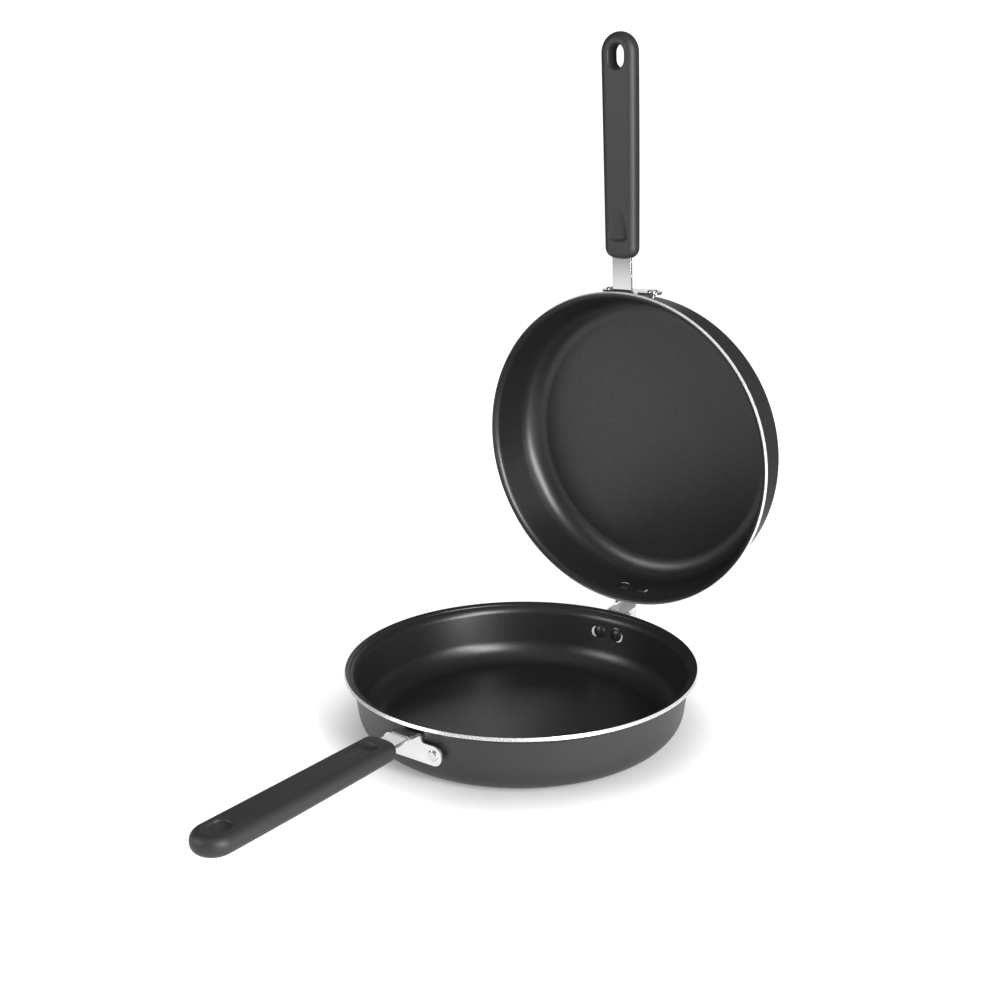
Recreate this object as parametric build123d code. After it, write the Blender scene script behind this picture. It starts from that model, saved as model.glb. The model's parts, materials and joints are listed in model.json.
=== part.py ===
from build123d import *
import math
import os

# Double-sided flip pan: two shallow frying pans, joined rim to rim by a hinge, each with its
# own handle. The lower pan stands on its base and the upper one stands open at its stop.
#
# Part frame: origin at the centre of the lower pan's base, +Z up, both handles towards -Y when
# the pans are shut, hinge at +Y, hinge axis along X.
# Pan frame, in which the pieces of either pan are drawn: origin at the centre of its rim
# plane, +Z out of its mouth, its handle towards -Y and its hinge towards +Y.

# ------------------------------------------------------------ driving dimensions (mm, degrees)
PAN_DEPTH = 47.0            # rim plane to the underside of the base
WALL = 2.5                  # thickness of wall and rim
FLOOR = 3.5                 # thickness of the base
MOUTH_RADIUS = 117.7        # where the inside of the wall, run on upwards, meets the rim plane
WALL_LEAN = 7.5             # of the wall, outwards from upright
BASE_ROUND = 20.0           # outside radius between base and wall
LIP_ROUND = 7.2             # inside radius between wall and lip
LOWER_LIP_FLAT = 4.5        # straight stretch of the lower pan's lip
LOWER_LIP_RISE = 27.0       # of that stretch, above level
UPPER_LIP_FLAT = 0.3        # the same for the upper pan
UPPER_LIP_RISE = 25.0
SEAT_CLEARANCE = 0.4        # left between the shut rims
CREASE_RADIUS = 0.45        # round groove in the lower lip, under the upper rim

OPEN_ANGLE = 87.5           # swing of the upper pan from shut to its stop
HINGE_STAND_OFF = 5.68      # lower lip's rim to hinge axis, outwards
HINGE_DROP = 5.1            # lower rim plane to hinge axis
PIN_RADIUS = 2.0
PIN_RUNNING_FIT = 0.06      # radial play of the pin in the barrel
PIN_TIGHT_FIT = 0.02        # radial play of the pin in the cheeks
PIN_HEAD_RADIUS = 3.2
PIN_HEAD_HEIGHT = 1.2
PIN_HEAD_PLAY = 0.05
SHEET = 1.5                 # steel of the hinge brackets
SHEET_FIT = 0.1             # between a hinge bracket and the pan wall
BARREL_LENGTH = 14.6
CHEEK_PLAY = 0.5            # between barrel end and each cheek
CHEEK_RADIUS = 4.1          # rounded end of a cheek about the pin
LEAF_DEPTH = 5.6            # upper bracket's leaf, below the rim plane
GUSSET_DEPTH = 3.0          # of the cheeks' inner corners, below the leaf

HINGE_PLATE_WIDTH = 27.0
HINGE_PLATE_TOP = 8.5       # below the rim plane
HINGE_PLATE_HEIGHT = 15.5
HINGE_PLATE_CORNER = 4.0
HINGE_RIVET_SPACING = 15.0
HINGE_RIVET_DEPTH = 15.2    # below the rim plane

HANDLE_SHEET = 2.0          # steel of the handle brackets
STRAP_WIDTH = 16.0          # between pan and grip
STRAP_DEPTH = 6.0           # below the rim plane
STRAP_EDGE_ROUND = 0.5      # along its upper edges
BEND_ROUND = 5.0            # outside of the bend where the strap turns down along the wall
NOTCH_ROUND = 2.3           # between the strap and the wings' top edge
WING_TOP = 13.4             # below the rim plane
WING_HEIGHT = 13.8
WING_STAND_OFF = 0.5        # of the flat wings from the pan wall, where it is nearest
HANDLE_RIVET_SPACING = 35.6
HANDLE_RIVET_DEPTH = 19.9   # below the rim plane

GRIP_STAND_OFF = 20.08      # lower lip's rim to the grip's crowned end
GRIP_LENGTH = 158.0
GRIP_WIDTH = 26.4           # at its crowned end
TAIL_WIDTH = 28.4
GRIP_THICKNESS = 12.8
GRIP_BELLY = 0.6            # fullness of the far side at mid length
GRIP_EDGE_ROUND = 6.0       # long edges
GRIP_CROWN = 3.0            # bulge of the crowned end
GRIP_CORNER_EASE = 1.5      # corners of the crowned end, over the long edges' round
GRIP_GAP = 1.0              # between the two grips when shut
HANG_HOLE_WIDTH = 12.6
HANG_HOLE_LENGTH = 17.0
HANG_HOLE_INSET = 16.5      # tail to the hole's centre
HANG_HOLE_ROUND = 1.6       # of its edges
THUMB_WIDTH = 17.0
THUMB_DEPTH = 2.4
THUMB_INSET = 17.2          # crowned end to the deepest point
THUMB_STEEP = 4.2           # run from the deepest point up to the face, towards the pan
THUMB_FADE = 22.0           # and towards the tail

TANG_WIDTH = 12.0
TANG_LENGTH = 66.0          # of the strap inside the grip
SOCKET_LENGTH = 14.0        # of the strap's full width inside the grip
TANG_FIT = 0.1
TANG_CORNER = 2.5
SCREW_INSET = 46.0          # crowned end to the fixing screw
SCREW_RADIUS = 1.7
SCREW_FIT = 0.1
SCREW_LAND = 2.6            # grip material between the tang and the screw's head
SCREW_TIP = 1.2             # screw past the tang
SCREW_HEAD_RADIUS = 3.5
SCREW_HEAD_HEIGHT = 2.3
SCREW_WELL_RADIUS = 4.1     # of the well that the head lies in
SLOT_WIDTH = 1.0
SLOT_DEPTH = 1.1

RIVET_RADIUS = 2.0
RIVET_FIT = 0.05
INNER_HEAD_RADIUS = 4.9
INNER_HEAD_HEIGHT = 2.1
OUTER_HEAD_RADIUS = 3.9
OUTER_HEAD_HEIGHT = 1.45
OUTER_HEAD_FLAT = 3.0       # radius of the outer head's flat top
HEAD_EDGE = 0.4             # straight rim of either head
HEAD_ROUND = 0.35           # of the outer head's edges

# ------------------------------------------------------------ sizes that follow
LEAN = math.radians(WALL_LEAN)
WALL_NORMAL = Vector(math.cos(LEAN), -math.sin(LEAN))   # outwards, in (radius, height)
HINGE_PLATE_FACE = WALL + SHEET_FIT + SHEET             # inside of the wall to the plate's face
CHEEK_INSIDE = BARREL_LENGTH / 2 + CHEEK_PLAY
CHEEK_OUTSIDE = CHEEK_INSIDE + SHEET
REACH = 2 * PAN_DEPTH                                   # of cutting shapes, past what they cut


def inner_radius(depth):
    """Inside radius of the wall at a depth below the rim plane."""
    return MOUTH_RADIUS - depth * math.tan(LEAN)


def outer_radius(depth):
    """Outside radius of the wall at a depth below the rim plane."""
    return inner_radius(depth) + WALL / math.cos(LEAN)


def lip_run(lip_flat, lip_rise):
    """Length of the lip from the sharp corner that its inside would make with the wall's."""
    turn = math.radians(90 - WALL_LEAN - lip_rise)
    return lip_flat + LIP_ROUND * math.tan(turn / 2)


def lip_corner(lip_flat, lip_rise):
    """That corner, and the top edge of the lip, as (radius, height)."""
    run = lip_run(lip_flat, lip_rise)
    rise = math.radians(lip_rise)
    depth = run * math.sin(rise)
    corner = Vector(inner_radius(depth), -depth)
    return corner, corner + Vector(math.cos(rise), math.sin(rise)) * run


LOWER_LIP_EDGE = lip_corner(LOWER_LIP_FLAT, LOWER_LIP_RISE)[1].X
LOWER_RIM = LOWER_LIP_EDGE + WALL * math.sin(math.radians(LOWER_LIP_RISE))
HINGE_REACH = LOWER_RIM + HINGE_STAND_OFF               # pan axis to hinge axis
GRIP_START = LOWER_RIM + GRIP_STAND_OFF                 # pan axis to the grip's crowned end
GRIP_MOUTH = GRIP_START + GRIP_CROWN
GRIP_END = GRIP_START + GRIP_LENGTH
UPPER_LIP_EDGE = lip_corner(UPPER_LIP_FLAT, UPPER_LIP_RISE)[1].X
SEAT_DEPTH = (LOWER_LIP_EDGE - UPPER_LIP_EDGE) * math.tan(math.radians(LOWER_LIP_RISE))
NEST = SEAT_DEPTH - SEAT_CLEARANCE                      # upper rim plane below the lower one, shut
UPPER_HINGE_RISE = HINGE_DROP - NEST                    # hinge axis above the upper rim plane
GRIP_FACE_DEPTH = (NEST + GRIP_GAP) / 2
SCREW_SEAT = STRAP_DEPTH + HANDLE_SHEET + SCREW_LAND
WING_FACE = outer_radius(WING_TOP) + WING_STAND_OFF + HANDLE_SHEET
WING_FOOT = WING_TOP + WING_HEIGHT


# ------------------------------------------------------------ placing
def place_lower(shape):
    return Pos(0, 0, PAN_DEPTH) * shape


def place_upper(shape):
    """Turn a piece over onto the lower pan, then swing it open about the hinge axis."""
    shut = Pos(0, 0, PAN_DEPTH - NEST) * Rot(0, 180, 0)
    hinge = Pos(0, HINGE_REACH, PAN_DEPTH - HINGE_DROP)
    return hinge * Rot(-OPEN_ANGLE, 0, 0) * hinge.inverse() * shut * shape


def on_wall(turn, depth):
    """Location on the inside of the wall, with +Y square to the wall and outwards."""
    return Rot(0, 0, turn) * Pos(0, inner_radius(depth), -depth) * Rot(-WALL_LEAN, 0, 0)


def rivet_place(spacing, depth, towards_handle, side):
    """Location on the wall of the rivet at the -X side (-1) or the +X side (1) of a pair."""
    turn = math.degrees(math.asin(spacing / 2 / inner_radius(depth)))
    return on_wall(180 + side * turn if towards_handle else -side * turn, depth)


def wing_place(side):
    """Location on the face of a handle bracket's wing, with +Y square to it and outwards."""
    return Pos(side * HANDLE_RIVET_SPACING / 2, -WING_FACE, -HANDLE_RIVET_DEPTH) * Rot(0, 0, 180)


def along_y(radius, near, far):
    """Rod along Y, between two Y stations."""
    return Pos(0, (near + far) / 2, 0) * Rot(90, 0, 0) * Cylinder(radius, far - near)


HINGE_RIVETS = (HINGE_RIVET_SPACING, HINGE_RIVET_DEPTH, False)
HANDLE_RIVETS = (HANDLE_RIVET_SPACING, HANDLE_RIVET_DEPTH, True)
RIVET_HOLE = along_y(RIVET_RADIUS + RIVET_FIT, -REACH / 4, REACH / 4)


def with_hinge_holes(shape):
    return shape - [rivet_place(*HINGE_RIVETS, side) * RIVET_HOLE for side in (-1, 1)]


def with_handle_holes(shape):
    return shape - [wing_place(side) * RIVET_HOLE for side in (-1, 1)]


# ------------------------------------------------------------ pans
def pan_outside(lip_flat, lip_rise, grow=0.0):
    """Corners of a pan's outside, moved out by grow, from lip to base, and their rounds."""
    sheet = WALL + grow
    rise = math.radians(lip_rise)
    lip_normal = Vector(math.sin(rise), -math.cos(rise))
    corner, edge = lip_corner(lip_flat, lip_rise)
    spread = sheet / (1 + WALL_NORMAL.dot(lip_normal))
    base = PAN_DEPTH + grow
    points = [
        edge,
        edge + lip_normal * sheet,
        corner + (WALL_NORMAL + lip_normal) * spread,
        (outer_radius(base) + grow / math.cos(LEAN), -base),
        (0, -base),
    ]
    return points, [0, 0, LIP_ROUND - sheet, BASE_ROUND + grow, 0]


def turned(points, rounds):
    """Solid turned about the pan's axis from corners in (radius, height)."""
    outline = FilletPolyline(*points, radius=rounds, close=True)
    return revolve(Plane.XZ * make_face(outline), Axis.Z, 360)


def pan_sheet(lip_flat, lip_rise):
    floor = PAN_DEPTH - FLOOR
    corner, _ = lip_corner(lip_flat, lip_rise)
    inside = [(0, -floor), (inner_radius(floor), -floor), corner]
    outside, outside_rounds = pan_outside(lip_flat, lip_rise)
    return turned(inside + outside, [0, BASE_ROUND - WALL, LIP_ROUND] + outside_rounds)


def lower_pan():
    crease = Pos(0, 0, -SEAT_DEPTH) * Torus(UPPER_LIP_EDGE, CREASE_RADIUS)
    pan = pan_sheet(LOWER_LIP_FLAT, LOWER_LIP_RISE) - crease
    return with_handle_holes(with_hinge_holes(pan))


def upper_pan():
    pan = pan_sheet(UPPER_LIP_FLAT, UPPER_LIP_RISE)
    return with_handle_holes(with_hinge_holes(pan))


def clear_of_pan(shape):
    """Take away what would lie within either pan, with the fit."""
    for lip in ((LOWER_LIP_FLAT, LOWER_LIP_RISE), (UPPER_LIP_FLAT, UPPER_LIP_RISE)):
        points, rounds = pan_outside(*lip, SHEET_FIT)
        shape -= turned([(0, 0)] + points, [0] + rounds)
    return shape


# ------------------------------------------------------------ sheet metal
def from_side(face, x_from, x_to):
    """Sheet cut to a face drawn in (y, z), between two X stations."""
    return Pos(x_from, 0, 0) * extrude(Plane.YZ * face, amount=x_to - x_from)


def wall_band(face):
    """Sheet that follows the wall at the hinge, cut to a face drawn in (x, z)."""
    near = outer_radius(0) + SHEET_FIT
    run = REACH * math.tan(LEAN)
    band = make_face(Polyline(
        (near, 0), (near + SHEET, 0), (near + SHEET - run, -REACH), (near - run, -REACH), close=True
    ))
    column = extrude(Plane.XZ * face, amount=-2 * MOUTH_RADIUS)
    return revolve(Plane.XZ * band, Axis.Z, 360) & column


def strip(start, end):
    """Edge view of a piece of sheet whose middle runs from start to end."""
    across = (end - start).normalized().rotate(Axis.Z, 90) * (SHEET / 2)
    return make_face(Polyline(start + across, end + across, end - across, start - across, close=True))


def hinge_plate():
    height = -HINGE_PLATE_TOP - HINGE_PLATE_HEIGHT / 2
    outline = RectangleRounded(HINGE_PLATE_WIDTH, HINGE_PLATE_HEIGHT, HINGE_PLATE_CORNER)
    return wall_band(Pos(0, height, 0) * outline)


def lower_hinge_bracket():
    """Plate on the wall, with a tongue that is rolled round the pin."""
    bore = PIN_RADIUS + PIN_RUNNING_FIT
    roll = bore + SHEET / 2
    pin = Vector(HINGE_REACH, -HINGE_DROP)
    root_depth = HINGE_PLATE_TOP + SHEET
    root = Vector(outer_radius(root_depth) + SHEET_FIT + SHEET / 2, -root_depth)
    reach = pin - root
    tangent = math.degrees(math.asin(roll / reach.length))
    tongue_run = math.sqrt(reach.length ** 2 - roll ** 2)
    touch = root + reach.normalized().rotate(Axis.Z, -tangent) * tongue_run
    barrel = Pos(pin) * (Circle(bore + SHEET) - Circle(bore))
    tongue = strip(root, touch) - Pos(pin) * Circle(bore)
    half = BARREL_LENGTH / 2
    bracket = hinge_plate() + from_side(barrel, -half, half) + from_side(tongue, -half, half)
    return with_hinge_holes(clear_of_pan(bracket))


def upper_hinge_bracket():
    """Plate on the wall, with a leaf and two cheeks that carry the pin."""
    pin = Vector(HINGE_REACH, UPPER_HINGE_RISE)
    near = HINGE_REACH - CHEEK_RADIUS
    far = HINGE_REACH + CHEEK_RADIUS
    wall = inner_radius(LEAF_DEPTH)
    leaf_back = LEAF_DEPTH + SHEET
    leaf = Pos(0, 0, -leaf_back) * Box(
        2 * CHEEK_OUTSIDE, far - wall, SHEET, align=(Align.CENTER, Align.MIN, Align.MIN)
    )
    cheek = Pos(pin) * Circle(CHEEK_RADIUS) + make_face(Polyline(
        (near, pin.Y), (near, -LEAF_DEPTH), (wall, -LEAF_DEPTH), (wall, -leaf_back - GUSSET_DEPTH),
        (near, -leaf_back), (far, -leaf_back), (far, pin.Y), close=True
    ))
    cheek -= Pos(pin) * Circle(PIN_RADIUS + PIN_TIGHT_FIT)
    bracket = hinge_plate() + Pos(0, wall, 0) * leaf
    for x_from in (-CHEEK_OUTSIDE, CHEEK_INSIDE):
        bracket += from_side(cheek, x_from, x_from + SHEET)
    return with_hinge_holes(clear_of_pan(bracket))


def hinge_pin():
    """Headed at both ends, outside the cheeks."""
    head_start = CHEEK_OUTSIDE + PIN_HEAD_PLAY
    head_end = head_start + PIN_HEAD_HEIGHT
    half = FilletPolyline(
        (0, 0), (0, PIN_RADIUS), (head_start, PIN_RADIUS), (head_start, PIN_HEAD_RADIUS),
        (head_end, PIN_HEAD_RADIUS), (head_end, 0),
        radius=[0, 0, 0, 0, PIN_HEAD_HEIGHT / 2, 0], close=True,
    )
    pin = revolve(make_face(half), Axis.X, 360)
    return Pos(0, HINGE_REACH, -HINGE_DROP) * (pin + mirror(pin, about=Plane.YZ))


# ------------------------------------------------------------ handle bracket
def bracket_side():
    """Edge view of the strap and of the plate that it turns down into, as (y, z)."""
    inside = HANDLE_SHEET - WING_FACE
    under = -STRAP_DEPTH - HANDLE_SHEET
    start = -GRIP_MOUTH - TANG_LENGTH
    return make_face(FilletPolyline(
        (start, -STRAP_DEPTH), (inside, -STRAP_DEPTH), (inside, -WING_FOOT),
        (-WING_FACE, -WING_FOOT), (-WING_FACE, under), (start, under),
        radius=[0, BEND_ROUND, 0, 0, BEND_ROUND - HANDLE_SHEET, 0], close=True,
    ))


def bracket_front():
    """Outline of the strap and the wings, seen along the handle, as (x, z)."""
    middle = WING_TOP + WING_HEIGHT / 2
    wings = Pos(0, -middle) * SlotOverall(HANDLE_RIVET_SPACING + WING_HEIGHT, WING_HEIGHT)
    neck = Rectangle(STRAP_WIDTH, middle, align=(Align.CENTER, Align.MAX))
    outline = wings + neck
    wing_tops = outline.vertices().group_by(Axis.Y)[-2].sort_by(Axis.X)
    return fillet(wing_tops[1:-1], NOTCH_ROUND)


def tang_cut():
    """What is taken from the strap's sides, inside the grip, to leave the narrower tang."""
    socket_end = GRIP_MOUTH + SOCKET_LENGTH
    length = TANG_LENGTH - SOCKET_LENGTH
    to_tail = (Align.CENTER, Align.MAX)
    tang = Rectangle(TANG_WIDTH, length, align=to_tail)
    tang = fillet(tang.vertices().group_by(Axis.Y)[0], TANG_CORNER)
    sides = Rectangle(2 * STRAP_WIDTH, 2 * length, align=to_tail) - tang
    return Pos(0, -socket_end, -REACH) * extrude(sides, amount=REACH)


def handle_bracket():
    """Strap from the grip, turned down into a flat plate whose two wings take the rivets."""
    wing_end = (HANDLE_RIVET_SPACING + WING_HEIGHT) / 2
    column = extrude(Plane.XZ * bracket_front(), amount=2 * GRIP_END)
    bracket = from_side(bracket_side(), -wing_end, wing_end) & column
    bracket = fillet(bracket.edges().filter_by(Axis.Y).group_by(Axis.Z)[-1], STRAP_EDGE_ROUND)
    bracket = clear_of_pan(bracket - tang_cut())
    screw_hole = Cylinder(SCREW_RADIUS + SCREW_FIT, REACH)
    bracket -= Pos(0, -GRIP_START - SCREW_INSET, 0) * screw_hole
    return with_handle_holes(bracket)


# ------------------------------------------------------------ grip
def grip_block():
    """Flat towards the other grip, a little fuller on the far side, rounded all over."""
    half = GRIP_WIDTH / 2
    tail_round = TAIL_WIDTH / 2
    tail_start = -GRIP_END + tail_round
    plan = make_face([
        ThreePointArc((half, -GRIP_MOUTH), (0, -GRIP_START), (-half, -GRIP_MOUTH)),
        Line((-half, -GRIP_MOUTH), (-tail_round, tail_start)),
        ThreePointArc((-tail_round, tail_start), (0, -GRIP_END), (tail_round, tail_start)),
        Line((tail_round, tail_start), (half, -GRIP_MOUTH)),
    ])
    plan = fillet(plan.vertices().group_by(Axis.Y)[-1], GRIP_EDGE_ROUND + GRIP_CORNER_EASE)
    top = -GRIP_FACE_DEPTH
    foot = top - GRIP_THICKNESS
    pan_end = -GRIP_START + GRIP_CROWN
    tail_end = -GRIP_END - GRIP_CROWN
    side = make_face([
        Polyline((pan_end, foot), (pan_end, top), (tail_end, top), (tail_end, foot)),
        ThreePointArc((tail_end, foot), ((pan_end + tail_end) / 2, foot - GRIP_BELLY), (pan_end, foot)),
    ])
    column = Pos(0, 0, -REACH) * extrude(plan, amount=2 * REACH)
    block = column & from_side(side, -TAIL_WIDTH, TAIL_WIDTH)
    long_edges = [edge for edge in block.edges() if abs(edge.tangent_at(0.5).Z) < 0.5]
    return fillet(long_edges, GRIP_EDGE_ROUND)


def hang_hole(body):
    """Cut the slot through the tail, along the grip, and round its edges."""
    slot = SlotOverall(HANG_HOLE_LENGTH, HANG_HOLE_WIDTH, rotation=90)
    column = Pos(0, -GRIP_END + HANG_HOLE_INSET, -REACH) * extrude(slot, amount=2 * REACH)
    before = body.edges()
    body -= column
    rim = [edge for edge in body.edges() - before if abs(edge.tangent_at(0.5).Z) < 0.5]
    return fillet(rim, HANG_HOLE_ROUND)


def thumb_hollow():
    """Roller whose lower side leaves a drop-shaped hollow, deepest towards the pan."""
    roller = (THUMB_WIDTH ** 2 / 4 + THUMB_DEPTH ** 2) / (2 * THUMB_DEPTH)
    rest = roller - THUMB_DEPTH
    bulge = (THUMB_STEEP ** 2 + THUMB_DEPTH ** 2) / (2 * THUMB_DEPTH)
    half = make_face([
        Line((-THUMB_FADE, 0), (-THUMB_FADE, rest)),
        Line((-THUMB_FADE, rest), (0, roller)),
        RadiusArc((0, roller), (THUMB_STEEP, rest), bulge),
        Line((THUMB_STEEP, rest), (THUMB_STEEP, 0)),
        Line((THUMB_STEEP, 0), (-THUMB_FADE, 0)),
    ])
    place = Pos(0, -GRIP_START - THUMB_INSET, -GRIP_FACE_DEPTH + rest) * Rot(0, 0, 90)
    return place * revolve(half, Axis.X, 360)


def tang_socket():
    """Room for the strap's end and the tang, with the fit all round."""
    socket_end = GRIP_MOUTH + SOCKET_LENGTH + TANG_FIT
    tang_end = GRIP_MOUTH + TANG_LENGTH + TANG_FIT
    height = HANDLE_SHEET + 2 * TANG_FIT
    top = -STRAP_DEPTH + TANG_FIT
    from_front = (Align.CENTER, Align.MIN, Align.MAX)
    socket = Pos(0, -socket_end, top) * Box(STRAP_WIDTH + 2 * TANG_FIT, REACH, height, align=from_front)
    return socket + Pos(0, -tang_end, top) * Box(TANG_WIDTH + 2 * TANG_FIT, REACH, height, align=from_front)


def grip():
    body = hang_hole(grip_block()) - thumb_hollow() - tang_socket()
    screw = Pos(0, -GRIP_START - SCREW_INSET, 0)
    tip = -STRAP_DEPTH + SCREW_TIP + SCREW_FIT
    downwards = (Align.CENTER, Align.CENTER, Align.MAX)
    body -= screw * Pos(0, 0, tip) * Cylinder(SCREW_RADIUS + SCREW_FIT, REACH, align=downwards)
    body -= screw * Pos(0, 0, -SCREW_SEAT) * Cylinder(SCREW_WELL_RADIUS, REACH, align=downwards)
    return body


def grip_screw():
    """Holds the tang from the grip's far side; its head lies in the well."""
    tip = -STRAP_DEPTH + SCREW_TIP
    shank = Pos(0, 0, -SCREW_SEAT) * Cylinder(
        SCREW_RADIUS, tip + SCREW_SEAT, align=(Align.CENTER, Align.CENTER, Align.MIN)
    )
    head = Cylinder(SCREW_HEAD_RADIUS, SCREW_HEAD_HEIGHT)
    head = fillet(head.edges().filter_by(GeomType.CIRCLE).sort_by(Axis.Z)[0], HEAD_EDGE)
    for turn in (0, 90):
        slot = Rot(0, 0, turn) * Box(SCREW_HEAD_RADIUS, SLOT_WIDTH, 2 * SLOT_DEPTH)
        head -= Pos(0, 0, -SCREW_HEAD_HEIGHT / 2) * slot
    head = Pos(0, 0, -SCREW_SEAT - SCREW_HEAD_HEIGHT / 2) * head
    return Pos(0, -GRIP_START - SCREW_INSET, 0) * (shank + head)


# ------------------------------------------------------------ rivets
def inner_head():
    """Domed head on the inside of the wall; +Y points outwards."""
    wall_radius = inner_radius(HINGE_RIVET_DEPTH)
    seat = math.sqrt(wall_radius ** 2 - INNER_HEAD_RADIUS ** 2) - wall_radius
    edge = seat - HEAD_EDGE
    top = seat - INNER_HEAD_HEIGHT
    dome = (INNER_HEAD_RADIUS ** 2 / (edge - top) + edge - top) / 2
    return revolve(make_face([
        RadiusArc((0, top), (INNER_HEAD_RADIUS, edge), -dome),
        Polyline((INNER_HEAD_RADIUS, edge), (INNER_HEAD_RADIUS, seat), (0, seat), (0, top)),
    ]), Axis.Y, 360)


def outer_head():
    """Button head with a flat top, on a face at Y = 0; +Y points outwards."""
    outline = FilletPolyline(
        (0, 0), (OUTER_HEAD_RADIUS, 0), (OUTER_HEAD_RADIUS, HEAD_EDGE),
        (OUTER_HEAD_FLAT, OUTER_HEAD_HEIGHT), (0, OUTER_HEAD_HEIGHT),
        radius=[0, 0, HEAD_ROUND, HEAD_ROUND, 0], close=True,
    )
    return revolve(make_face(outline), Axis.Y, 360)


def hinge_rivet(side):
    """Square to the wall, through it and the hinge plate."""
    shank = along_y(RIVET_RADIUS, -INNER_HEAD_HEIGHT / 2, HINGE_PLATE_FACE)
    rivet = inner_head() + shank + Pos(0, HINGE_PLATE_FACE, 0) * outer_head()
    return rivet_place(*HINGE_RIVETS, side) * rivet


def handle_rivet(side):
    """Square to the wing, with a bare stretch of shank between it and the wall."""
    on_inside = rivet_place(*HANDLE_RIVETS, side)
    reach = WING_FACE + on_inside.position.Y
    shank = along_y(RIVET_RADIUS, -reach - INNER_HEAD_HEIGHT / 2, 0)
    return on_inside * inner_head() + wing_place(side) * (shank + outer_head())


# ------------------------------------------------------------ the assembly
def pan_pieces(pan, hinge_bracket, facing):
    """Every piece of one pan, by name; facing is -1 where the pan lies on its face."""
    pieces = {
        "pan": pan,
        "hinge_bracket": hinge_bracket,
        "handle_bracket": handle_bracket(),
        "grip": grip(),
        "grip_screw": grip_screw(),
    }
    for name, side in (("left", -facing), ("right", facing)):
        pieces[f"hinge_rivet_{name}"] = hinge_rivet(side)
        pieces[f"handle_rivet_{name}"] = handle_rivet(side)
    return pieces


nodes = {"hinge_pin": place_lower(hinge_pin())}
for name, piece in pan_pieces(lower_pan(), lower_hinge_bracket(), 1).items():
    nodes[f"lower_{name}"] = place_lower(piece)
for name, piece in pan_pieces(upper_pan(), upper_hinge_bracket(), -1).items():
    nodes[f"upper_{name}"] = place_upper(piece)

os.makedirs("parts", exist_ok=True)
for name, piece in nodes.items():
    export_step(piece, f"parts/{name}.step")
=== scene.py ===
# %% [markdown]
# # A double sided flip pan
#
# Two shallow frying pans meet rim to rim on one hinge, so that what is fried in them can be
# turned over without a spatula. The lower pan stands on its base, and the upper one stands open.
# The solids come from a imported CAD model, which fixes every size and every moving place. This
# lesson dresses them: it turns the bowls and rivets as smooth meshes, gives each surface its
# finish, and sets them on a pale table in soft light. Every length in the scene is in metres.

# %% Load the frame
import cmath
import json
import math
import bpy
from mathutils import Matrix, Vector


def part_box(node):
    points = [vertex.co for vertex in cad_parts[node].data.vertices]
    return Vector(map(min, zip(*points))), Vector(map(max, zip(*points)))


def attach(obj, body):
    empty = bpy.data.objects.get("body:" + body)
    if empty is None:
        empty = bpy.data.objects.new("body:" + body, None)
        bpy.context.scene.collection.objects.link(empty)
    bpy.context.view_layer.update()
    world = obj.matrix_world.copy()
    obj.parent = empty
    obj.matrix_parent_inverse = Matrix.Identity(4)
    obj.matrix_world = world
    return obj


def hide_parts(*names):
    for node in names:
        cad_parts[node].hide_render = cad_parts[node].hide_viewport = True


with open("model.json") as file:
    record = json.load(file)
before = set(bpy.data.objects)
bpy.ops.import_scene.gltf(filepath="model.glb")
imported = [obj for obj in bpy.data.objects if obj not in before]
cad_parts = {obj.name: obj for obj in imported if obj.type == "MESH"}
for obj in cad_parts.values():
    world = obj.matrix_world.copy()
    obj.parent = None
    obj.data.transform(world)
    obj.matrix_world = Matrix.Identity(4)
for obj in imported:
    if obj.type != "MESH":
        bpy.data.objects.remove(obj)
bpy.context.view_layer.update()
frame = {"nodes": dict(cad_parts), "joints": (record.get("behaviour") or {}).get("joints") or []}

MM = 0.001

# %% [markdown]
# ## Where the two pans sit
#
# Both pans are drawn once, in a frame of their own: origin at the middle of the rim, +Z out of
# the mouth, grip towards -Y. Two matrices then carry them to their places. The lower one is only
# lifted. The upper one is turned over onto the lower one and swung open about the hinge, whose
# axis and angle are read from the frame's joint, so that the pieces can't drift from the CAD.

# %% Place the lower and the upper pan
PAN_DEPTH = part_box("lower_pan")[1].z
NEST = 1.268 * MM           # the upper rim lies this far below the lower one when shut
hinge = frame["joints"][0]
hinge_point = Vector(hinge["pos_m"])
open_angle = math.radians(hinge["range_deg"][1])

shut = Matrix.Translation((0, 0, PAN_DEPTH - NEST)) @ Matrix.Rotation(math.pi, 4, "Y")
swing = Matrix.Translation(hinge_point) @ Matrix.Rotation(-open_angle, 4, "X")
PLACES = {
    "lower": Matrix.Translation((0, 0, PAN_DEPTH)),
    "upper": swing @ Matrix.Translation(-hinge_point) @ shut,
}
BODIES = {"lower": "lower_half", "upper": "upper_half"}
print("upper rim centre at", [round(v, 4) for v in PLACES["upper"].translation])

# %% [markdown]
# ## Shader maths as plain expressions
#
# A material is a network of nodes, and drawing it by hand in code soon hides what it computes.
# The class below wraps one output socket and gives it Python's operators, so that
# `0.4 + 0.1 * grain` adds the two Math nodes it needs. Anything else, such as a noise texture,
# comes from one method that takes the node's type, its settings and what feeds its sockets.

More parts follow.
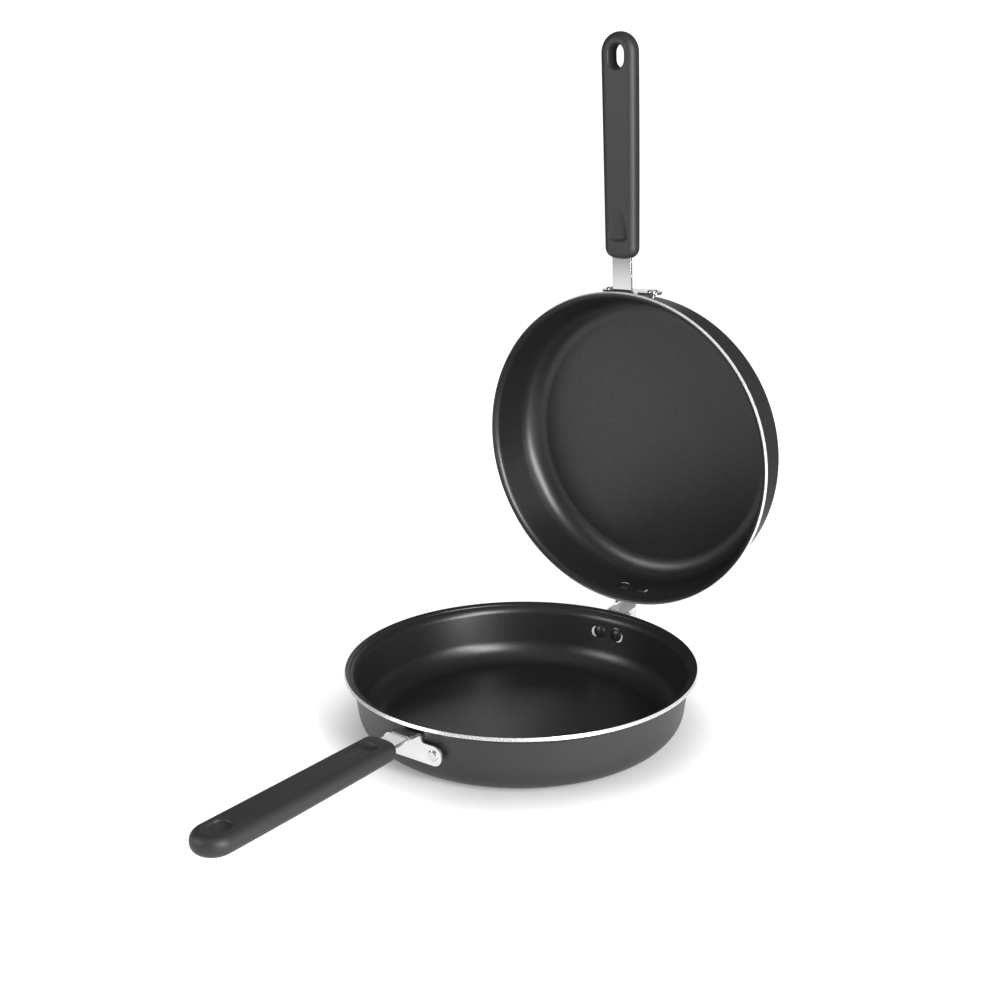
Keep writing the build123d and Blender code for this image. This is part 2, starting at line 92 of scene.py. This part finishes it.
# %% A socket with operators
class Wire:
    """One output socket of a material's nodes; an operator on it adds a Math node."""

    def __init__(self, tree, socket=None):
        self.tree = tree
        self.socket = socket

    def node(self, kind, settings=None, output=0, **inputs):
        """Add a node with its settings and inputs (i0 is the first socket, or use its name)."""
        made = self.tree.nodes.new(kind)
        for name, value in (settings or {}).items():
            setattr(made, name, value)
        for name, value in inputs.items():
            self.feed(made.inputs[int(name[1:]) if name[1:].isdigit() else name], value)
        return Wire(self.tree, made.outputs[output])

    def feed(self, socket, value):
        """Link a wire to an input socket, or set a plain value on it."""
        if isinstance(value, Wire):
            self.tree.links.new(value.socket, socket)
        else:
            socket.default_value = value

    def maths(self, operation, first, second=0.0):
        return self.node("ShaderNodeMath", {"operation": operation}, i0=first, i1=second)

    def __add__(self, other):
        return self.maths("ADD", self, other)

    def __sub__(self, other):
        return self.maths("SUBTRACT", self, other)

    def __rsub__(self, other):
        return self.maths("SUBTRACT", other, self)

    def __mul__(self, other):
        return self.maths("MULTIPLY", self, other)

    __radd__ = __add__
    __rmul__ = __mul__

    def between(self, low, high):
        """0 below low, 1 above high, and a smooth rise from one to the other."""
        settings = {"interpolation_type": "SMOOTHSTEP"}
        return self.node("ShaderNodeMapRange", settings, i0=self, i1=low, i2=high)

    def mix(self, first, second):
        """A colour that goes from first to second as this wire goes from 0 to 1."""
        return self.node("ShaderNodeMix", {"data_type": "RGBA"}, output=2, i0=self, i6=first, i7=second)

    def distance(self, point):
        """How far this place is from a point."""
        return self.node("ShaderNodeVectorMath", {"operation": "DISTANCE"}, output=1, i0=self, i1=point)

    def scaled(self, *factors):
        """This vector with each of its parts multiplied by a number."""
        return self.node("ShaderNodeVectorMath", {"operation": "MULTIPLY"}, i0=self, i1=factors)

    def noise(self, size, detail=2.0, roughness=0.5, stretch=(1, 1, 1)):
        """Noise from 0 to 1 with features of about one size, drawn out along an axis if asked."""
        place = self.scaled(*[1 / (size * part) for part in stretch])
        return place.node("ShaderNodeTexNoise", Vector=place, Scale=1.0, Detail=detail, Roughness=roughness)


# %% Start a finish
def grey(level, warmth=0.0):
    """A neutral colour, a little warmer or cooler."""
    return (level * (1 + warmth), level, level * (1 - warmth), 1.0)


def bumped(height, depth):
    """A surface normal that follows a height from 0 to 1, with a depth in metres."""
    return height.node("ShaderNodeBump", Strength=1.0, Distance=depth, Height=height)


def finish(name, recipe, **fixed):
    """A material whose varying inputs come from a recipe, which is given the place on the piece."""
    material = bpy.data.materials.new(name)
    material.use_nodes = True
    tree = material.node_tree
    shader = tree.nodes["Principled BSDF"]
    place = Wire(tree).node("ShaderNodeTexCoord", output=3)
    for socket, value in {**fixed, **recipe(place)}.items():
        place.feed(shader.inputs[socket], value)
    print("finish", name, "with", len(tree.nodes), "nodes")
    return material


# %% [markdown]
# ## The non-stick coating inside
#
# The coating is sprayed on and baked. It dries to a satin black skin with a fine pebbled
# surface, about a millimetre from bump to bump, and the odd paler fleck of filler. Beside some
# hinge rivet heads it turns into small pale, half metallic spots with ragged edges. The bumps
# come from noise in the pan's own frame, so that they stay put when the pan swings.

# %% Black coating
COAT_DARK = 0.009
COAT_FLECK = 0.028
COAT_ROUGH = 0.27
LOWER_PALE_SPOTS = (
    (-1, -3.0 * MM, 0.7 * MM, 4.4 * MM),
    (1, 1.8 * MM, 1.2 * MM, 4.5 * MM),
    (1, -0.4 * MM, -1.1 * MM, 4.3 * MM),
)
UPPER_PALE_SPOTS = (
    (1, 0.9 * MM, 2.6 * MM, 4.2 * MM),
    (-1, -4.9 * MM, 0, 2.2 * MM),
)
WALL_LEAN = math.radians(7.5)
MOUTH_RADIUS = 117.7 * MM
WALL = 2.5 * MM
HINGE_RIVETS = (15.0 * MM, 15.2 * MM)       # spacing of a pair, and depth below the rim plane
HANDLE_RIVETS = (35.6 * MM, 19.9 * MM)


def inner_radius(depth):
    """Inside radius of the wall at a depth below the rim plane."""
    return MOUTH_RADIUS - depth * math.tan(WALL_LEAN)


def on_wall(spacing, depth, end, side):
    """Place of a rivet inside the wall, at the hinge (end 1) or the handle (-1), +Z outwards."""
    turn = math.asin(spacing / 2 / inner_radius(depth))
    spin = -side * turn if end > 0 else math.pi + side * turn
    at_wall = Matrix.Translation((0, inner_radius(depth), -depth))
    outwards = Matrix.Rotation(-WALL_LEAN - math.pi / 2, 4, "X")
    return Matrix.Rotation(spin, 4, "Z") @ at_wall @ outwards


def pale_spots(place, spots):
    """1 on the pale spots beside the hinge rivets; each is a rivet's side, a shift across and towards the
    base, and a radius.
    """
    ragged = 0.7 * MM * place.noise(1.1 * MM, detail=2.0)
    paleness = 0.0
    for side, across, down, radius in spots:
        centre = on_wall(*HINGE_RIVETS, 1, side) @ Vector((across, down, 0))
        reach = place.distance(centre) + ragged
        paleness = 1 - reach.between(radius, radius + 0.2 * MM) + paleness
    return paleness


def skin(place):
    """The coating where it is whole."""
    pebbles = place.noise(1.0 * MM, detail=1.0)
    flecks = place.noise(0.6 * MM, detail=0.0).between(0.64, 0.76)
    patches = place.noise(45 * MM, detail=3.0)
    return {
        "Base Color": flecks.mix(grey(COAT_DARK), grey(COAT_FLECK)),
        "Roughness": COAT_ROUGH + 0.10 * pebbles + 0.06 * patches,
        "Normal": bumped(pebbles, 0.03 * MM),
    }


def coating(spots):
    """Recipe for the coating of one pan, with its own pale spots."""
    def recipe(place):
        look = skin(place)
        paleness = pale_spots(place, spots)
        # small pale, half metallic spots beside some hinge rivet heads
        colour = paleness.mix(look["Base Color"], grey(0.92))
        return {**look, "Base Color": colour, "Metallic": 0.5 * paleness}
    return recipe


COATINGS = {
    "lower": finish("lower_coating", coating(LOWER_PALE_SPOTS), IOR=1.5),
    "upper": finish("upper_coating", coating(UPPER_PALE_SPOTS), IOR=1.5),
}
DOME_COAT = finish("dome_coating", skin, IOR=1.5)


# %% [markdown]
# ## The paint outside
#
# Outside, the same bowl carries a dark grey enamel, a little paler and duller than the coating,
# with a finer grain.

# %% Dark grey enamel
def enamel(place):
    grain = place.noise(0.45 * MM, detail=1.0)
    pebbles = place.noise(0.9 * MM, detail=1.0)
    patches = place.noise(60 * MM, detail=2.0)
    return {
        "Base Color": grain.mix(grey(0.010), grey(0.020)),
        "Roughness": 0.38 + 0.08 * grain + 0.05 * patches,
        "Normal": bumped(pebbles, 0.018 * MM),
    }


ENAMEL = finish("dark_grey_enamel", enamel, IOR=1.5)


# %% [markdown]
# ## Bare aluminium
#
# The rim is trimmed after coating, so its cut edge is bare and shows the tool's fine lines. The
# base is faced on a lathe after painting, which leaves rings about its centre.

# %% Cut edge and faced base
def cut(place):
    scratches = place.noise(0.5 * MM, detail=3.0, roughness=0.7)
    return {
        "Base Color": scratches.between(0.3, 0.7).mix(grey(0.45), grey(0.84)),
        "Roughness": 0.20 + 0.16 * scratches,
        "Normal": bumped(scratches, 0.006 * MM),
    }


def faced(place):
    radius = place.scaled(1, 1, 0).distance((0, 0, 0))
    rings = radius.noise(0.35 * MM, detail=2.0)
    haze = place.noise(25 * MM, detail=3.0)
    return {
        "Base Color": haze.mix(grey(0.55), grey(0.70)),
        "Roughness": 0.26 + 0.14 * haze + 0.10 * rings,
        "Normal": bumped(rings, 0.02 * MM),
    }


CUT_EDGE = finish("cut_aluminium", cut, Metallic=0.5)
FACED = finish("faced_aluminium", faced, Metallic=1.0)


# %% [markdown]
# ## Rivets and steel
#
# The rivets are drawn aluminium, a little duller than the brackets. The brackets are bent from
# stainless sheet and polished, which leaves a faint haze and hairlines along the handle. The
# hinge's leaf keeps the grain of the rolled sheet, and the pin and screws are plain bright steel.

# %% Rivet metal
def drawn(place):
    haze = place.noise(3 * MM, detail=3.0)
    return {
        "Base Color": haze.mix(grey(0.54), grey(0.66)),
        "Roughness": 0.12 + 0.10 * haze,
        "Normal": bumped(haze, 0.01 * MM),
    }


BARE = finish("rivet_aluminium", drawn, Metallic=0.9)


# %% Polished steel
def polished(place):
    haze = place.noise(9 * MM, detail=4.0, roughness=0.6)
    hairlines = place.noise(0.25 * MM, detail=2.0, stretch=(1, 12, 12))
    return {
        "Base Color": haze.mix(grey(0.60), grey(0.72)),
        "Roughness": 0.07 + 0.06 * haze + 0.04 * hairlines,
        "Normal": bumped(hairlines, 0.003 * MM),
    }


STEEL = finish("polished_steel", polished, Metallic=0.95)


# %% Brushed sheet, pin and screws
def brushed(place):
    lines = place.noise(0.3 * MM, detail=3.0, stretch=(1, 1, 8))
    return {
        "Base Color": lines.mix(grey(0.50), grey(0.74)),
        "Roughness": 0.24 + 0.16 * lines,
        "Normal": bumped(lines, 0.008 * MM),
    }


def plain_steel(place):
    haze = place.noise(2 * MM, detail=2.0)
    return {"Base Color": haze.mix(grey(0.62), grey(0.74)), "Roughness": 0.16 + 0.10 * haze}


BRUSHED = finish("brushed_steel", brushed, Metallic=0.8)
PIN_STEEL = finish("plain_steel", plain_steel, Metallic=1.0)


# %% [markdown]
# ## The grips
#
# The grips are moulded in a dark, slightly soft plastic. It has a very fine grain, and its
# highlights are broad and dull.

# %% Moulded grip
def moulding(place):
    grain = place.noise(0.4 * MM, detail=2.0)
    patches = place.noise(30 * MM, detail=2.0)
    return {
        "Base Color": patches.mix(grey(0.014), grey(0.018)),
        "Roughness": 0.48 + 0.10 * grain,
        "Normal": bumped(grain, 0.01 * MM),
    }


MOULDED = finish("moulded_grip", moulding, IOR=1.46)

# %% [markdown]
# ## The two bowls
#
# A bowl is pressed from a disc and trimmed on a lathe, so it is round about its axis all over,
# and one outline gives its whole shape. The outline is a list of corners, each with the radius
# that rounds it off. Even the trimmed edge has a tiny round, because a real edge always catches
# a line of light. Points on the rounds get exact normals from the drawing, so that the long
# smooth walls reflect without ripples.

# %% Round the corners of an outline
ARC_STEP = math.radians(4.0)


def rounded(corners):
    """(point, outward normal, finish) along an outline; points are complex: radius, then height."""
    places = [corner[0] for corner in corners]
    outline = []
    for index, (corner, radius, material) in enumerate(corners):
        ahead = places[min(index + 1, len(places) - 1)] - corner
        behind = corner - places[max(index - 1, 0)]
        leaving = (ahead or behind) / abs(ahead or behind)
        coming = (behind or ahead) / abs(behind or ahead)
        turn = cmath.phase(leaving / coming)
        steps = max(1, math.ceil(abs(turn) / ARC_STEP)) if radius else 0
        start = corner - coming * radius * math.tan(abs(turn) / 2)
        spoke = -1j * math.copysign(radius, turn) * coming
        for step in range(steps + 1):
            bend = cmath.exp(1j * turn * (step / steps if steps else 0))
            outline.append((start + spoke * (bend - 1), 1j * coming * bend, material))
    return outline


# %% [markdown]
# The outline is then swept round the axis. Its two ends on the axis become single points, the
# long runs are cut into shorter ones so that no face is a sliver, and every face takes the
# finish of the stretch it belongs to.

# %% Sweep an outline round its axis
LONGEST_RUN = 9 * MM
ON_AXIS = 1e-9              # a point nearer than this to the axis is on it


def divided(outline, longest):
    """The outline with its long straight runs cut into shorter ones."""
    points = [outline[0]]
    for (start, _, _), (end, normal, material) in zip(outline, outline[1:]):
        pieces = math.ceil(abs(end - start) / longest)
        for piece in range(1, pieces):
            points.append((start + (end - start) * piece / pieces, normal, material))
        points.append((end, normal, material))
    return points


def swept(corners, place, around, longest=LONGEST_RUN):
    """Vertices, normals and (face, finish) pairs of an outline swept round the axis of a place."""
    outline = divided(rounded(corners), longest)
    facing = place.to_3x3()
    vertices, normals, rings = [], [], []
    for point, normal, _ in outline:
        count = around if point.real > ON_AXIS else 1
        rings.append([len(vertices) + step % count for step in range(around)])
        for step in range(count):
            spin = cmath.rect(1, math.tau * step / around)
            at = point.real * spin
            out = normal.real * spin if count > 1 else 0j
            vertices.append(place @ Vector((at.real, at.imag, point.imag)))
            normals.append((facing @ Vector((out.real, out.imag, normal.imag))).normalized())
    faces = []
    for inner, outer, (_, _, material) in zip(rings, rings[1:], outline[1:]):
        for step in range(around):
            after = (step + 1) % around
            corner_loop = dict.fromkeys((inner[step], outer[step], outer[after], inner[after]))
            faces.append((list(corner_loop), material))
    return vertices, normals, faces


def turned(node, body, place, sweeps, around):
    """A piece made of swept outlines, which stands for a CAD node and rides on its body."""
    vertices, normals, faces, materials = [], [], [], []
    for corners, sweep_place in sweeps:
        more_vertices, more_normals, more_faces = swept(corners, sweep_place, around)
        for face, material in more_faces:
            faces.append([corner + len(vertices) for corner in face])
            materials.append(material)
        vertices += more_vertices
        normals += more_normals
    mesh = bpy.data.meshes.new(f"{node}_turned")
    mesh.from_pydata(vertices, [], faces)
    finishes = list(dict.fromkeys(materials))
    for material in finishes:
        mesh.materials.append(material)
    mesh.polygons.foreach_set("material_index", [finishes.index(material) for material in materials])
    mesh.shade_smooth()
    mesh.normals_split_custom_set_from_vertices(normals)
    piece = bpy.data.objects.new(f"{node}_turned", mesh)
    piece.matrix_world = place
    bpy.context.scene.collection.objects.link(piece)
    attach(piece, body)
    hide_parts(node)
    print(piece.name, "has", len(faces), "faces")


# %% Draw the outline of a pan
FLOOR = 3.5 * MM
BASE_ROUND = 20 * MM
LIP_ROUND = 7.2 * MM
EDGE_ROUND = 0.2 * MM       # left on the trimmed edge
LIPS = {"lower": (4.5 * MM, math.radians(27)), "upper": (0.3 * MM, math.radians(25))}
AROUND = 256
CREASE = 0.45 * MM          # groove in the lower lip, under the upper pan's edge


def lip_line(lip_flat, lip_rise):
    """Corner between wall and lip inside, the lip's direction, and its top edge."""
    turn = math.pi / 2 - WALL_LEAN - lip_rise
    run = lip_flat + LIP_ROUND * math.tan(turn / 2)
    along = cmath.rect(1, lip_rise)
    inside = complex(inner_radius(run * along.imag), -run * along.imag)
    return inside, along, inside + run * along


def pan_outline(lip, crease_at, coating):
    """Corners of a pan from the middle of its floor, over the lip, to the middle of its base."""
    inside, along, edge = lip_line(*lip)
    out_of_lip = -1j * along
    out_of_wall = cmath.rect(1, -WALL_LEAN)
    spread = WALL / (1 + (out_of_wall * out_of_lip.conjugate()).real)
    outside = inside + (out_of_wall + out_of_lip) * spread
    floor = PAN_DEPTH - FLOOR
    foot = inner_radius(PAN_DEPTH) + WALL / math.cos(WALL_LEAN)
    groove = []
    if crease_at:
        middle = inside + along * (crease_at - inside.real) / along.real
        for across, down in ((-1, 0), (0, 1), (1, 0)):
            corner = middle + (across * along + down * out_of_lip) * CREASE
            groove.append((corner, CREASE / 3, coating))
    return [
        (complex(0, -floor), 0, coating),
        (complex(inner_radius(floor), -floor), BASE_ROUND - WALL, coating),
        (inside, LIP_ROUND, coating),
        *groove,
        (edge, EDGE_ROUND, coating),
        (edge + out_of_lip * WALL, EDGE_ROUND, CUT_EDGE),
        (outside, LIP_ROUND - WALL, ENAMEL),
        (complex(foot, -PAN_DEPTH), BASE_ROUND, ENAMEL),
        (complex(0, -PAN_DEPTH), 0, FACED),
    ]


CREASES = {"lower": lip_line(*LIPS["upper"])[2].real, "upper": 0}
for half, lip in LIPS.items():
    outline = pan_outline(lip, CREASES[half], COATINGS[half])
    turned(f"{half}_pan", BODIES[half], PLACES[half], [(outline, Matrix())], AROUND)

# %% [markdown]
# ## The rivets
#
# Every rivet has a domed head inside the pan, sprayed over with the coating, and a bare button
# head outside. At the hinge both heads lie on the same axis, square to the wall. The handle's
# wings are flat and stand a little off the wall, so there the outer head is square to the wing,
# and a bright stretch of shank shows in the gap.

# %% Turn the rivets
SHANK = 2.0 * MM
DOME = (4.9 * MM, 2.1 * MM)         # radius and height of an inner head
BUTTON = (3.9 * MM, 3.0 * MM, 1.45 * MM)    # radius, flat top and height of an outer head
HEAD_EDGE = 0.4 * MM
SHEET_FIT = 0.1 * MM        # between the hinge bracket and the wall
HINGE_SHEET = 1.5 * MM
HINGE_PLATE_FACE = WALL + SHEET_FIT + HINGE_SHEET
WING_TOP = 13.4 * MM        # below the rim plane
WING_STAND_OFF = 0.5 * MM   # from the wall, where it is nearest
HANDLE_SHEET = 2.0 * MM
WING_FACE = inner_radius(WING_TOP) + WALL / math.cos(WALL_LEAN) + WING_STAND_OFF + HANDLE_SHEET
FACING_HANDLE = Matrix.Rotation(math.pi / 2, 4, "X")
SMALL_ROUND = 0.3 * MM
FINE_ROUND = 0.1 * MM
DOME_SHARE = 0.96           # of the dome's true radius, so that its round ends short of the axis
RIVET_AROUND = 48


def dome_corners(wall_radius):
    """Inner head, from a flat end inside the wall to the top of its dome."""
    radius, height = DOME
    seat = math.sqrt(wall_radius ** 2 - radius ** 2) - wall_radius
    rise = height - HEAD_EDGE
    bulge = (radius ** 2 / rise + rise) / 2
    shoulder = bulge * math.tan(math.asin(radius / bulge) / 2)
    return [
        (complex(0, seat + HEAD_EDGE), 0, BARE),
        (complex(radius, seat + HEAD_EDGE), 0, BARE),
        (complex(radius, seat - HEAD_EDGE), FINE_ROUND, DOME_COAT),
        (complex(shoulder, seat - height), DOME_SHARE * bulge, DOME_COAT),
        (complex(0, seat - height), 0, DOME_COAT),
    ]


def button_corners(face, shank_end):
    """Outer head on a face at a height, and the shank below it, which ends inside the wall."""
    radius, flat, height = BUTTON
    return [
        (complex(0, face + height), 0, BARE),
        (complex(flat, face + height), SMALL_ROUND, BARE),
        (complex(radius, face + HEAD_EDGE), SMALL_ROUND, BARE),
        (complex(radius, face), FINE_ROUND, BARE),
        (complex(SHANK, face), FINE_ROUND, BARE),
        (complex(SHANK, shank_end), 0, BARE),
        (complex(0, shank_end), 0, BARE),
    ]


for half, body in BODIES.items():
    facing = 1 if half == "lower" else -1
    for name, side in (("left", -facing), ("right", facing)):
        inside = on_wall(*HINGE_RIVETS, 1, side)
        dome = dome_corners(inner_radius(HINGE_RIVETS[1]))
        button = button_corners(HINGE_PLATE_FACE, WALL / 2)
        sweeps = [(dome, inside), (button, inside)]
        turned(f"{half}_hinge_rivet_{name}", body, PLACES[half], sweeps, RIVET_AROUND)
        inside = on_wall(*HANDLE_RIVETS, -1, side)
        spacing, depth = HANDLE_RIVETS
        on_wing = Matrix.Translation((side * spacing / 2, -WING_FACE, -depth)) @ FACING_HANDLE
        gap = WING_FACE + inside.translation.y
        sweeps = [(dome_corners(inner_radius(depth)), inside), (button_corners(0, WALL / 2 - gap), on_wing)]
        turned(f"{half}_handle_rivet_{name}", body, PLACES[half], sweeps, RIVET_AROUND)

# %% [markdown]
# ## The brackets, pin, screws and grips
#
# These CAD solids already have the shapes that the scene needs, so they stay. Each only gets
# its finish, which is linked to the object, so that its mesh is left as it was packed.

# %% Dress the other CAD nodes
DRESS = {
    "handle_bracket": STEEL,
    "hinge_bracket": BRUSHED,
    "hinge_pin": PIN_STEEL,
    "grip_screw": PIN_STEEL,
    "grip": MOULDED,
}
for name, node in frame["nodes"].items():
    for ending, material in DRESS.items():
        if name.endswith(ending):
            for slot in node.material_slots:
                slot.link = "OBJECT"
                slot.material = material
            print(name, "wears", material.name)

# %% [markdown]
# ## The table and the backdrop
#
# The pans stand on a pale table. A wide white bowl lies below and round it, so that no horizon
# shows from any side. Both glow, so that they read as white paper. Close round the pans the
# table's glow is dimmer: a painted shade that adds to the shadow the pans cast. The bowl is only
# a backdrop: the dark coatings mirror the table and the dim room, and not the bowl.

# %% Lay the table in its bowl
TABLE_REACH = 1.3           # of the table in front of the pans and to either side
TABLE_BACK = 0.42           # of the table behind the middle of the lower pan
# within this reach of the lower pan's middle the table's glow is painted lower, as a painted shade round
# the pans
PAINTED_SHADE = (0.10, 0.165)       # from that middle, where the table's glow starts to rise and is full
BOWL_DROP = 0.01            # below the table top
BOWL_RADIUS = 4.2
BOWL_BEND = 1.6
BOWL_TOP = 8.0
BOWL_AROUND = 64


def paper(near, far):
    """Recipe for white paper that glows from one level near the pans to another far away; a dimmer glow
    near them is a painted shade.
    """
    def recipe(place):
        fibres = place.noise(0.02, detail=3.0)
        # 0 near the pans, where the glow is painted lower as a painted shade, and 1 further out
        out_of_painted_shade = place.distance((0, 0, 0)).between(*PAINTED_SHADE)
        return {
            "Base Color": fibres.mix(grey(0.42), grey(0.46)),
            "Roughness": 0.70 + 0.10 * fibres,
            "Emission Color": out_of_painted_shade.mix(grey(near), grey(far)),
        }
    return recipe


def staged(name, vertices, faces, material):
    """A piece of the set, which is no part of the object."""
    mesh = bpy.data.meshes.new(name)
    mesh.from_pydata(vertices, [], faces)
    mesh.shade_smooth()
    mesh.materials.append(material)
    piece = bpy.data.objects.new(name, mesh)
    bpy.context.scene.collection.objects.link(piece)
    print(name, "has", len(faces), "faces")
    return piece


# the table glows less near the pans: a painted shade where they stand
table_paper_with_painted_shade = finish("table_paper_with_painted_shade", paper(0.20, 0.84), **{"Emission Strength": 1.0})
edges = (-TABLE_REACH, TABLE_REACH)
table_top = [(x, y, 0) for x, y in zip(edges + edges[::-1], (-TABLE_REACH,) * 2 + (TABLE_BACK,) * 2)]
staged("table", table_top, [(0, 1, 2, 3)], table_paper_with_painted_shade)

bowl_paper = finish("bowl_paper", paper(1.1, 1.1), **{"Emission Strength": 1.0})
bowl_outline = [
    (complex(0, -BOWL_DROP), 0, bowl_paper),
    (complex(BOWL_RADIUS, -BOWL_DROP), BOWL_BEND, bowl_paper),
    (complex(BOWL_RADIUS, BOWL_TOP), 0, bowl_paper),
]
bowl_vertices, _, bowl_faces = swept(bowl_outline, Matrix(), BOWL_AROUND, BOWL_TOP)
bowl = staged("bowl", bowl_vertices, [face for face, _ in bowl_faces], bowl_paper)
bowl.visible_glossy = False
bowl.visible_diffuse = False

# %% [markdown]
# ## The lights
#
# A high soft box on the right draws the bright patch in the lower pan's cove, where wall and base
# meet, and a low one draws the patch in the upper pan's. A smaller one on the left draws a second
# patch in the lower cove. A faint one behind lifts the lower grip's edge and the near part of the
# lower pan's floor, and a faint wide one hangs above. The room is kept dim, so that the coated
# surfaces stay dark between the patches.

# %% Hang the soft boxes
SOFT_BOXES = {              # azimuth, elevation, distance, size, radiance
    "high_right_box": (64, 27, 1.4, (0.34, 0.7), 29),
    "low_right_box": (78, 7, 1.4, (0.24, 0.4), 48),
    "left_box": (-33, 20, 1.4, (0.5, 0.5), 10),
    "back_left_box": (-143, 18, 1.6, (1.0, 0.7), 0.8),
    "top_box": (0, 85, 1.6, (2.0, 2.0), 0.3),
}
ROOM = 0.12
LIT_POINT = Vector((0, 0.03, 0.12))         # what the boxes face, between the two pans


def soft_box(name, azimuth, elevation, distance, size, radiance):
    """A rectangular light at a bearing from the pans (0 is -Y, 90 is +X), which faces them."""
    a, e = math.radians(azimuth), math.radians(elevation)
    towards = Vector((math.sin(a) * math.cos(e), -math.cos(a) * math.cos(e), math.sin(e)))
    data = bpy.data.lights.new(name, "AREA")
    data.shape = "RECTANGLE"
    data.size, data.size_y = size
    data.energy = radiance * math.pi * size[0] * size[1]
    light = bpy.data.objects.new(name, data)
    facing = towards.to_track_quat("Z", "Y").to_matrix().to_4x4()
    light.matrix_world = Matrix.Translation(LIT_POINT + towards * distance) @ facing
    bpy.context.scene.collection.objects.link(light)
    print(name, "gives", round(data.energy, 1), "W")


for name, facts in SOFT_BOXES.items():
    soft_box(name, *facts)

world = bpy.data.worlds.new("studio")
world.use_nodes = True
room = world.node_tree.nodes["Background"]
room.inputs["Color"].default_value = (1, 1, 1, 1)
room.inputs["Strength"].default_value = ROOM
bpy.context.scene.world = world
bpy.context.scene.view_settings.view_transform = "Standard"

# %% [markdown]
# ## The camera
#
# It stands to the right of the lower grip, about as high as the upper grip, and looks down at the
# pans by 16 degrees through a moderately long lens. It leans a little to one side.

# %% Set up the camera
SENSOR = 36                 # millimetres, as is the lens
LENS = 50.4
CAMERA_PLACE = (0.5480756, -0.7493133, 0.4310975)
BEARING = 37.0046           # degrees, as are the next two
LOOKING_DOWN = 15.8876
SIDEWAYS_LEAN = 0.76656

camera_data = bpy.data.cameras.new("camera")
camera_data.sensor_width = SENSOR
camera_data.lens = LENS
camera = bpy.data.objects.new("camera", camera_data)
camera.matrix_world = (
    Matrix.Translation(CAMERA_PLACE)
    @ Matrix.Rotation(math.radians(BEARING), 4, "Z")
    @ Matrix.Rotation(math.radians(90 - LOOKING_DOWN), 4, "X")
    @ Matrix.Rotation(math.radians(-SIDEWAYS_LEAN), 4, "Z")
)
bpy.context.scene.collection.objects.link(camera)
bpy.context.scene.camera = camera
print("camera stands", round(camera.location.length, 3), "m from the middle of the lower pan")
